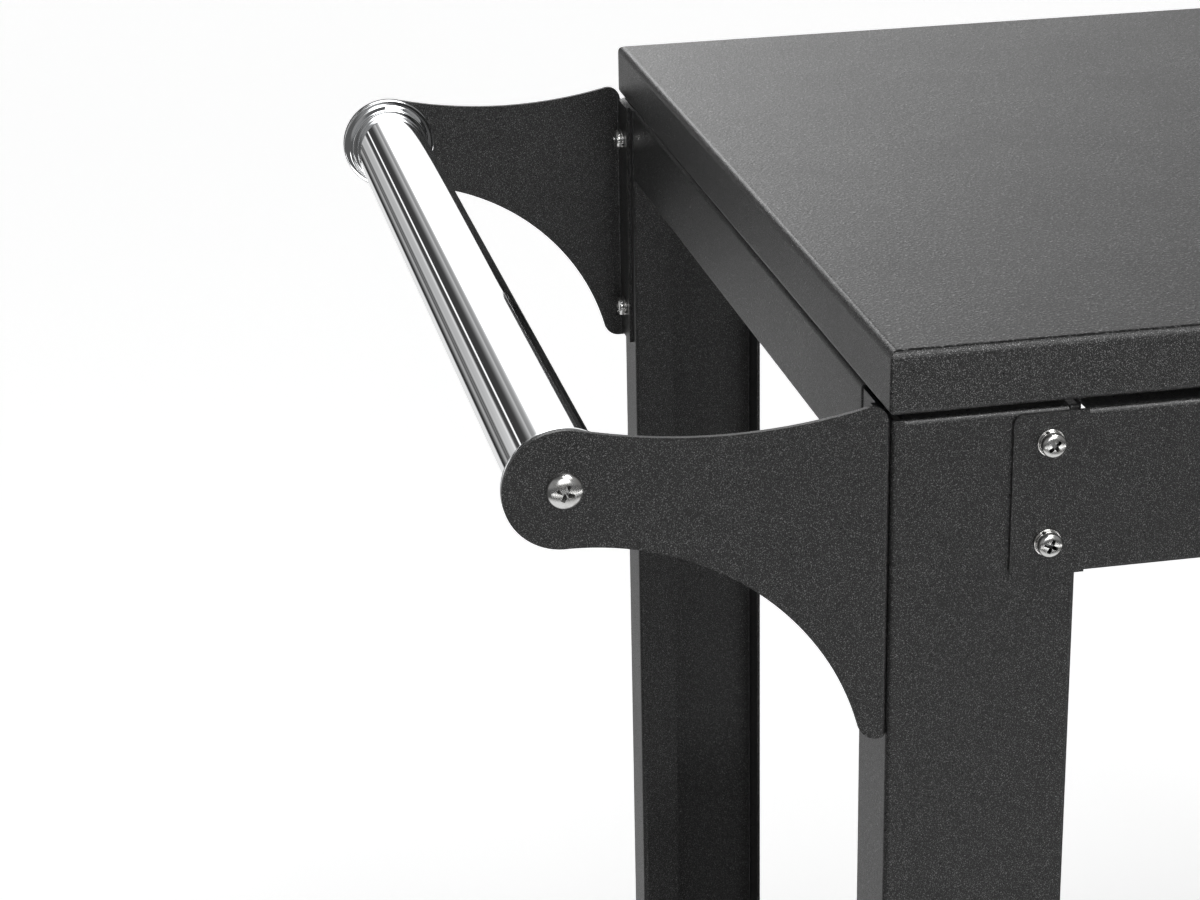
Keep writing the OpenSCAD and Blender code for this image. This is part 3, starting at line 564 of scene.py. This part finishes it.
def makeScrewTree():
    board = shapeTree("screw", dict(panHead, headRadius=0.0049, shankRadius=0.003, shankLength=0.011))
    size, form = board.sizes, crossForm

    # head: a unit grid rolled round the axis
    grid = board.add("GeometryNodeMeshGrid", None, {
        "Size X": 1.0, "Size Y": 1.0, "Vertices X": form["around"], "Vertices Y": form["along"]})
    gridPlace = board.parts(board.add("GeometryNodeInputPosition"))
    around = (gridPlace[0] + 0.5) * -2 * math.pi
    along = (gridPlace[1] + 0.5) * math.pi
    reach = board.maths("SINE", along) ** size["roundness"] * size["headRadius"]
    crown = board.maths("MAXIMUM", board.maths("COSINE", along), 0.0)
    onTop = along < math.pi / 2 + form["rimSlack"]
    height = crown ** size["roundness"] * (size["headHeight"] - size["rim"]) + onTop * size["rim"]
    place = board.joined(board.maths("COSINE", around) * reach, board.maths("SINE", around) * reach, height)
    head = board.add("GeometryNodeSetPosition", None, {"Geometry": grid, "Position": place})
    head = board.add("GeometryNodeMergeByDistance", None, {"Geometry": head, "Distance": form["weld"]})

    # recess: two crossed blades that narrow downwards
    block = board.add("GeometryNodeMeshCube", None, {
        "Size": board.joined(size["recess"], size["bladeWidth"], size["recessDepth"] * 2)})
    blockPlace = board.parts(board.add("GeometryNodeInputPosition"))
    narrow = blockPlace[2] / size["recessDepth"] * form["bladeTaper"] + 1
    blade = board.add("GeometryNodeSetPosition", None, {
        "Geometry": block, "Position": board.joined(blockPlace[0] * narrow, blockPlace[1], blockPlace[2])})
    lift = board.joined(0.0, 0.0, size["headHeight"])
    blades = []
    for quarter in (0, 90):
        angle = math.radians(form["bladeTurn"] + quarter)
        blades.append(board.add("GeometryNodeTransform", None, {
            "Geometry": blade, "Translation": lift, "Rotation": (0, 0, angle)}))
    pit = board.add("GeometryNodeMeshCylinder", None, {
        "Vertices": form["pitSides"], "Radius": size["recess"] * form["pitRadius"],
        "Depth": size["recessDepth"] * form["pitDepth"]}, out="Mesh")
    pit = board.add("GeometryNodeTransform", None, {"Geometry": pit, "Translation": lift})
    head = board.add("GeometryNodeMeshBoolean", {"operation": "DIFFERENCE", "solver": "EXACT"}, {
        "Mesh 1": head, "Mesh 2": blades + [pit], "Self Intersection": True}, out="Mesh")

    # how deep each point of the recess lies under the dome, which sets the painted shade there
    headPlace = board.parts(board.add("GeometryNodeInputPosition"))
    out = board.maths("SQRT", headPlace[0] * headPlace[0] + headPlace[1] * headPlace[1])
    bulge = 1 - (out / size["headRadius"]) ** (2 / size["roundness"])
    dome = bulge ** (size["roundness"] * 0.5) * (size["headHeight"] - size["rim"]) + size["rim"]
    depth = (dome - headPlace[2]) / size["recessDepth"] * (out < size["recess"] * form["shadeReach"])
    # painted shade: the depth is stored so that the plating darkens the recess
    head = board.add("GeometryNodeStoreNamedAttribute", {"data_type": "FLOAT", "domain": "POINT"}, {
        "Geometry": head, "Name": "depth", "Value": depth * size["paintedRecessShade"]})

    # shank with its thread
    shank = board.add("GeometryNodeMeshCylinder", None, {
        "Vertices": form["shankSides"], "Side Segments": form["shankRings"],
        "Radius": size["shankRadius"], "Depth": size["shankLength"]}, out="Mesh")
    shankPlace = board.parts(board.add("GeometryNodeInputPosition"))
    bearing = board.maths("ARCTAN2", shankPlace[1], shankPlace[0])
    ridge = board.maths("PINGPONG", shankPlace[2] / size["pitch"] + bearing / (2 * math.pi), 0.5)
    pull = 1 - ridge * 2 * size["threadDepth"] / size["shankRadius"]
    pulled = board.joined(shankPlace[0] * pull, shankPlace[1] * pull, shankPlace[2])
    threaded = board.add("GeometryNodeSetPosition", None, {"Geometry": shank, "Position": pulled})
    threaded = board.add("GeometryNodeTransform", None, {
        "Geometry": threaded, "Translation": board.joined(0.0, 0.0, size["shankLength"] * -0.5)})

    whole = board.add("GeometryNodeJoinGeometry", None, {"Geometry": [head, threaded]})
    facing = board.add("GeometryNodeInputNamedAttribute", {"data_type": "FLOAT_VECTOR"}, {"Name": "facing"})
    upright = board.add("FunctionNodeAlignRotationToVector", {"axis": "Z"}, {"Vector": facing})
    spin = board.add("FunctionNodeRandomValue", {"data_type": "FLOAT"}, {
        2: 0.0, 3: math.pi / 2, "Seed": form["spinSeed"]}, out=1)    # 2 and 3: least and most
    spun = board.add("FunctionNodeRotateRotation", {"rotation_space": "LOCAL"}, {
        "Rotation": upright, "Rotate By": board.joined(0.0, 0.0, spin)})
    placeOnPoints(board, whole, spun, materials["zinc"])
    return board


def solidsOf(nodeName):    # the corners of each separate solid in a node, in the same order every time
    work = bmesh.new()
    work.from_mesh(nodes[nodeName].data)
    bmesh.ops.remove_doubles(work, verts=work.verts, dist=weldDistance)
    left = set(work.verts)
    found = []
    while left:
        island, edge = set(), [left.pop()]
        while edge:
            vert = edge.pop()
            island.add(vert)
            for link in vert.link_edges:
                other = link.other_vert(vert)
                if other in left:
                    left.discard(other)
                    edge.append(other)
        found.append(sorted(tuple(vert.co) for vert in island))
    work.free()
    return sorted(found)


def boxOf(points):
    return [Vector([pick(p[i] for p in points) for i in range(3)]) for pick in (min, max)]


def measureScrew(points, look):    # seat, direction, head radius and shank of one screw
    low, high = boxOf(points)
    middle, span = (low + high) / 2, high - low
    axis = max(range(3), key=lambda i: span[i])
    side = (axis + 1) % 3

    def radiusAt(end):
        return max(abs(p[side] - middle[side]) for p in points if abs(p[axis] - end) < look["headHeight"])

    sign = 1 if radiusAt(high[axis]) > radiusAt(low[axis]) else -1
    facing = Vector((0, 0, 0))
    facing[axis] = sign
    tip = high[axis] if sign > 0 else low[axis]
    seat = middle.copy()
    seat[axis] = tip - sign * look["headHeight"]
    end = low[axis] + high[axis] - tip
    return {"seat": seat, "facing": facing, "headRadius": radiusAt(tip),
            "shankRadius": radiusAt(end), "shankLength": span[axis] - look["headHeight"]}


screwTree = makeScrewTree()
for nodeName, look in screwSets.items():
    screws = [measureScrew(points, look) for points in solidsOf(nodeName)]
    screws.sort(key=lambda s: tuple(round(v, 5) for v in s["seat"]))
    sizes = dict(look, **{key: screws[0][key] for key in ("headRadius", "shankRadius", "shankLength")})
    shape = grow(screwTree, [s["seat"] for s in screws], sizes, {"facing": [s["facing"] for s in screws]})
    smoothByAngle(shape, crossForm["smoothBelow"])
    addPiece(nodeName + "_crossed", shape, nodeName)
    print(nodeName, len(screws), "heads of", round(sizes["headRadius"] * 2000, 2), "mm")


# Balls in the swivel races

swivelBalls = {"ballRadius": 0.0015, "count": 34.0}
ballForm = {"around": 10, "along": 6}


def makeBallTree():
    board = shapeTree("swivelBalls", dict(swivelBalls, ringRadius=0.018))
    size = board.sizes
    ring = board.add("GeometryNodeMeshCircle", None, {
        "Vertices": size["count"], "Radius": size["ringRadius"]})
    ball = board.add("GeometryNodeMeshUVSphere", None, {
        "Segments": ballForm["around"], "Rings": ballForm["along"], "Radius": size["ballRadius"]}, out="Mesh")
    ball = board.add("GeometryNodeSetShadeSmooth", None, [ball])
    balls = board.add("GeometryNodeInstanceOnPoints", None, {"Points": ring, "Instance": ball})
    placeOnPoints(board, balls, None, materials["bearing_steel"])
    return board


races = [boxOf(points) for points in solidsOf("caster_bearing_rings")]
raceSizes = {
    "ringRadius": (races[0][1].x - races[0][0].x) / 2 - swivelBalls["ballRadius"],
    "ballRadius": (races[0][1].z - races[0][0].z) / 2,
    "count": swivelBalls["count"],
}
balls = grow(makeBallTree(), [(low + high) / 2 for low, high in races], raceSizes)
addPiece("swivel_balls", balls, "caster_bearing_rings")
print("swivel races:", len(races))


# Handle tube and its collars, turned finely enough for mirror reflections

handleLook = {
    "steps": 192,
    "tubeWall": 0.0015,
    "tubeEdge": 0.0004,
    "collarBase": 0.0025,
    "collarSeat": 0.0015,
    "collarMouth": 0.0014,
    "collarCove": 0.0016,
    "collarRim": 0.0005,
    "coveSteps": 24,
    "rimSteps": 4,
    "seatGap": 0.00005,
    "screwHole": 0.0043,
    "samePoint": 0.000001,
    "smoothBelow": 35,
}


def turned(name, outline, origin, direction, steps):    # outline of (radius, height), turned round an axis
    axis = Vector(direction).normalized()
    side = axis.orthogonal().normalized()
    over = axis.cross(side)
    verts, faces = [], []
    for step in range(steps):
        angle = 2 * math.pi * step / steps
        out = side * math.cos(angle) + over * math.sin(angle)
        verts += [Vector(origin) + out * radius + axis * height for radius, height in outline]
    count = len(outline)
    for step in range(steps):
        here, there = step * count, (step + 1) % steps * count
        for i in range(count):
            j = (i + 1) % count
            faces.append((here + i, there + i, there + j, here + j))
    mesh = bpy.data.meshes.new(name)
    mesh.from_pydata([tuple(v) for v in verts], [], faces)
    work = bmesh.new()
    work.from_mesh(mesh)
    bmesh.ops.recalc_face_normals(work, faces=work.faces)
    work.to_mesh(mesh)
    work.free()
    smoothByAngle(mesh, handleLook["smoothBelow"])
    return mesh


def arc(centre, radius, start, end, steps):
    angles = [math.radians(start + (end - start) * i / steps) for i in range(steps + 1)]
    return [(centre[0] + radius * math.cos(angle), centre[1] + radius * math.sin(angle)) for angle in angles]


tubeLow, tubeHigh = [Vector(corner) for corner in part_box("handle_tube")]
tubeRadius = (tubeHigh.z - tubeLow.z) / 2
tubeMiddle = (tubeLow + tubeHigh) / 2
tubeLength = tubeHigh.y - tubeLow.y
edge, wall = handleLook["tubeEdge"], handleLook["tubeWall"]
tubeOutline = [
    (tubeRadius - wall, 0), (tubeRadius - edge, 0), (tubeRadius, edge),
    (tubeRadius, tubeLength - edge), (tubeRadius - edge, tubeLength), (tubeRadius - wall, tubeLength),
]
tubeStart = (tubeMiddle.x, tubeLow.y, tubeMiddle.z)
tubeMesh = turned("handle_tube_polished", tubeOutline, tubeStart, (0, 1, 0), handleLook["steps"])
addPiece("handle_tube_polished", tubeMesh, "handle_tube")

collarMeshes = []
for low, high in [boxOf(points) for points in solidsOf("handle_collars")]:
    inward = -1 if low.y > 0 else 1
    start = low.y if inward > 0 else high.y
    tabRadius, length = (high.z - low.z) / 2, high.y - low.y
    seat = tubeRadius + handleLook["seatGap"]
    mouth = seat + handleLook["collarMouth"]
    base = handleLook["collarBase"]
    cove = min(length - base, tabRadius - mouth, handleLook["collarCove"])
    rim, rimSteps = handleLook["collarRim"], handleLook["rimSteps"]
    outline = [
        (handleLook["screwHole"], 0), (tabRadius - rim, 0),
        *arc((tabRadius - rim, rim), rim, -90, 0, rimSteps),
        *arc((tabRadius - rim, base - rim), rim, 0, 90, rimSteps),
        *arc((mouth + cove, base + cove), cove, 270, 180, handleLook["coveSteps"]),
        *arc((mouth - rim, length - rim), rim, 0, 90, rimSteps),
        (seat, length), (seat, handleLook["collarSeat"]), (handleLook["screwHole"], handleLook["collarSeat"]),
    ]
    samePoint = handleLook["samePoint"]
    pairs = zip(outline, outline[1:])
    outline = outline[:1] + [point for before, point in pairs if math.dist(before, point) > samePoint]
    collarStart = (tubeMiddle.x, start, tubeMiddle.z)
    collarMeshes.append(turned("collar", outline, collarStart, (0, inward, 0), handleLook["steps"]))


def mergeMeshes(name, meshes):
    work = bmesh.new()
    for mesh in meshes:
        work.from_mesh(mesh)
    whole = bpy.data.meshes.new(name)
    work.to_mesh(whole)
    work.free()
    return whole


addPiece("handle_collars_polished", mergeMeshes("handle_collars_polished", collarMeshes), "handle_collars")
print("handle turned")


# Ribs across the treads of the brake pedals

pedalRibs = {"count": 6.0, "pitch": 0.0034, "ribRadius": 0.0008, "ribLength": 0.031}
ribForm = {
    "sides": 12,
    "sunk": 0.0003,    # into the tread
    "endGap": 0.0022,    # from the tread's end to the first rib
    "smoothBelow": 40,
}
pedalArm = {    # as the pedal's solid is built
    "length": 0.038,
    "lift": 12.5,
    "rootHeight": 0.0015,
    "rootRadius": 0.0025,
    "tipRadius": 0.0014,
}


def makeRibTree():
    board = shapeTree("pedalRibs", dict(pedalRibs, lean=0.15))
    size = board.sizes
    run = board.maths("COSINE", size["lean"]) * size["pitch"]
    drop = board.maths("SINE", size["lean"]) * size["pitch"]
    line = board.add("GeometryNodeMeshLine", {"mode": "OFFSET"}, {
        "Count": size["count"], "Offset": board.joined(run, 0.0, drop * -1)})
    rib = board.add("GeometryNodeMeshCylinder", None, {
        "Vertices": ribForm["sides"], "Radius": size["ribRadius"], "Depth": size["ribLength"]}, out="Mesh")
    rib = board.add("GeometryNodeTransform", None, {"Geometry": rib, "Rotation": (math.pi / 2, 0, 0)})
    ribs = board.add("GeometryNodeInstanceOnPoints", None, {"Points": line, "Instance": rib})
    placeOnPoints(board, ribs, None, materials["pedal_plastic"])
    return board


def treadLine(pinPlace):    # the tread's outer end, its direction back to the pin and its slope
    root = Vector((0, 0, pedalArm["rootHeight"]))
    lift = math.radians(pedalArm["lift"])
    tip = Vector((-math.cos(lift), 0, math.sin(lift))) * pedalArm["length"]
    link = tip - root
    taper = math.asin((pedalArm["rootRadius"] - pedalArm["tipRadius"]) / link.length)
    slope = math.atan2(link.z, -link.x) - taper
    upward = Vector((math.sin(slope), 0, math.cos(slope)))
    inward = Vector((math.cos(slope), 0, -math.sin(slope)))
    end = pinPlace + tip + upward * (pedalArm["tipRadius"] - ribForm["sunk"])
    return end, inward, slope


ribTree = makeRibTree()
for corner in ("front", "rear"):
    nodeName = "brake_pedal_" + corner
    low, high = [Vector(place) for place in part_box("brake_pin_" + corner)]
    end, inward, slope = treadLine((low + high) / 2)
    ribs = grow(ribTree, [end + inward * ribForm["endGap"]], dict(pedalRibs, lean=slope))
    smoothByAngle(ribs, ribForm["smoothBelow"])
    addPiece(nodeName + "_ribs", ribs, nodeName, replaced=False)
print("pedal ribs grown")


# Floor and wall

studio = {
    "floorReach": 14.0,
    "floorColour": 0.85,
    "floorGlow": 0.62,
    "farGlow": 0.13,    # added to the floor far out, so that it meets the wall without a line
    "farFrom": 1.5,
    "farTo": 7.0,
    "wallReach": 13.5,
    "wallFoot": -0.01,
    "wallHeight": 20.0,
    "wallSteps": 64,
    "wallGlow": 1.05,
    "roughness": 0.9,
    "specular": 0.2,
}


def makeStage(name, verts, faces, colour, glow, farGlow=0.0):
    board = materialBoard(name)
    x, y, z = board.parts(board.object)
    far = board.step(board.maths("SQRT", x * x + y * y), studio["farFrom"], studio["farTo"])
    surface(board, {
        "Base Color": rgb(colour), "Roughness": studio["roughness"], "Specular IOR Level": studio["specular"],
        "Emission Color": far * farGlow + 1, "Emission Strength": glow})
    mesh = bpy.data.meshes.new(name)
    mesh.from_pydata(verts, [], faces)
    mesh.materials.append(board.material)
    stage = bpy.data.objects.new(name, mesh)
    scene.collection.objects.link(stage)
    stage.visible_glossy = False
    return stage


def makeFloor():
    reach = studio["floorReach"]
    corners = [(-reach, -reach, 0), (reach, -reach, 0), (reach, reach, 0), (-reach, reach, 0)]
    makeStage("floor", corners, [(0, 1, 2, 3)], studio["floorColour"], studio["floorGlow"], studio["farGlow"])


def makeBackdrop():    # a ring of pale wall, far outside, that only the camera sees
    steps, reach = studio["wallSteps"], studio["wallReach"]
    verts, faces = [], []
    for step in range(steps):
        angle = 2 * math.pi * step / steps
        out, over = reach * math.cos(angle), reach * math.sin(angle)
        verts += [(out, over, studio["wallFoot"]), (out, over, studio["wallHeight"])]
        a, b = step * 2, (step + 1) % steps * 2
        faces.append((a, a + 1, b + 1, b))
    backdrop = makeStage("backdrop", verts, faces, 0.0, studio["wallGlow"])
    backdrop.visible_diffuse = False
    backdrop.visible_shadow = False


# Sky: what the chrome, the zinc and the coat reflect

# brightness round the handle's direction, by angle from the right over the top
skyRing = [
    (-180, 0.5), (-167, 0.45), (-163, 0.54), (-157, 0.07), (-153, 0.21), (-149, 0.07), (-142, 0.45),
    (-138, 0.28), (-134, 0.14), (-128, 0.03), (-121, 0.03), (-115, 0.8), (-66, 0.8), (-60, 0.15), (-6, 0.3),
    (0, 1.1), (107, 1.1), (111, 0.88), (114, 0.55), (117, 0.36), (124, 0.28), (127, 0.58), (130, 0.36),
    (136.5, 0.14), (141, 0.05), (156, 0.04), (157.5, 1.4), (159.5, 1.4), (161, 0.05), (171, 0.06),
    (175, 0.8), (180, 0.5),
]
skyLow = 0.1    # in front, where no patch lies
# how strong each patch is, and its edges: the axis, where it starts and where it is full
skyPatches = {
    "back": (1.0, [("y", 0.25, 0.6)]),
    "ceiling": (0.85, [("z", 0.5, 0.8)]),
    "nearWall": (0.7, [("y", 0.915, 0.87), ("z", 0.1, 0.2)]),
    "backGlow": (2.0, [("y", 0.8, 0.88), ("z", 0.1, 0.2), ("x", -0.15, -0.08), ("x", 0.3, 0.05)]),
    "leftGlow": (0.4, [("x", -0.35, -0.45), ("z", -0.45, -0.35), ("z", 0.1, 0.0)]),
    "horizon": (0.15, [("z", -0.15, 0.15)]),
    "frontTable": (3.0, [("z", -0.425, -0.395), ("z", -0.33, -0.36), ("slant", 0.25, 0.6)]),
    "frontTop": (0.6, [("z", 0.6, 0.85)]),
    "frontBox": (3.8, [("x", -0.3, -0.1), ("x", 0.45, 0.25), ("y", -0.4, -0.6),
                       ("z", 0.15, 0.25), ("z", 0.65, 0.5)]),
    "floorShine": (0.7, [("z", -0.56, -0.7)]),
}


def makeSky():
    world = bpy.data.worlds.new("studio")
    scene.world = world
    world.use_nodes = True
    board = Board(world.node_tree)
    x, y, z = board.parts(board.add("ShaderNodeTexCoord", out="Generated"))
    across = {"x": x, "y": y, "z": z, "slant": x * 0.5 - y}    # slant: towards the front right

    def patch(name):
        level, edges = skyPatches[name]
        for axis, start, full in edges:
            level = board.step(across[axis], start, full) * level
        return level

    bearing = board.maths("ARCTAN2", z, x) / (2 * math.pi) + 0.5
    ring = board.ramp(bearing, *[(angle / 360 + 0.5, level) for angle, level in skyRing])
    behind = ring * (1 - patch("ceiling")) * (1 - patch("nearWall")) * (patch("backGlow") + 1)
    plain = (patch("horizon") + patch("frontTable") + skyLow) * (1 - patch("frontTop"))
    inFront = plain + patch("floorShine") + patch("frontBox")
    back = patch("back")
    level = back * (behind + patch("leftGlow")) + (1 - back) * inFront
    board.finish("ShaderNodeBackground", "ShaderNodeOutputWorld", {"Color": rgb(1.0), "Strength": level})


keyLamp = {
    "position": (0.5, -1.5, 3.4),
    "target": (0.0, 0.0, 0.7),
    "width": 1.5,
    "depth": 1.5,
    "power": 60.0,
}


def softBox(name, look):
    data = bpy.data.lights.new(name, "AREA")
    data.shape = "RECTANGLE"
    data.size, data.size_y = look["width"], look["depth"]
    data.energy = look["power"]
    lamp = bpy.data.objects.new(name, data)
    aim = Vector(look["target"]) - Vector(look["position"])
    facing = aim.to_track_quat("-Z", "Y").to_matrix().to_4x4()
    lamp.matrix_world = Matrix.Translation(look["position"]) @ facing
    scene.collection.objects.link(lamp)
    lamp.visible_camera = False


scene.view_settings.view_transform = "Standard"
makeFloor()
makeBackdrop()
makeSky()
softBox("keyLight", keyLamp)
print("studio lit")
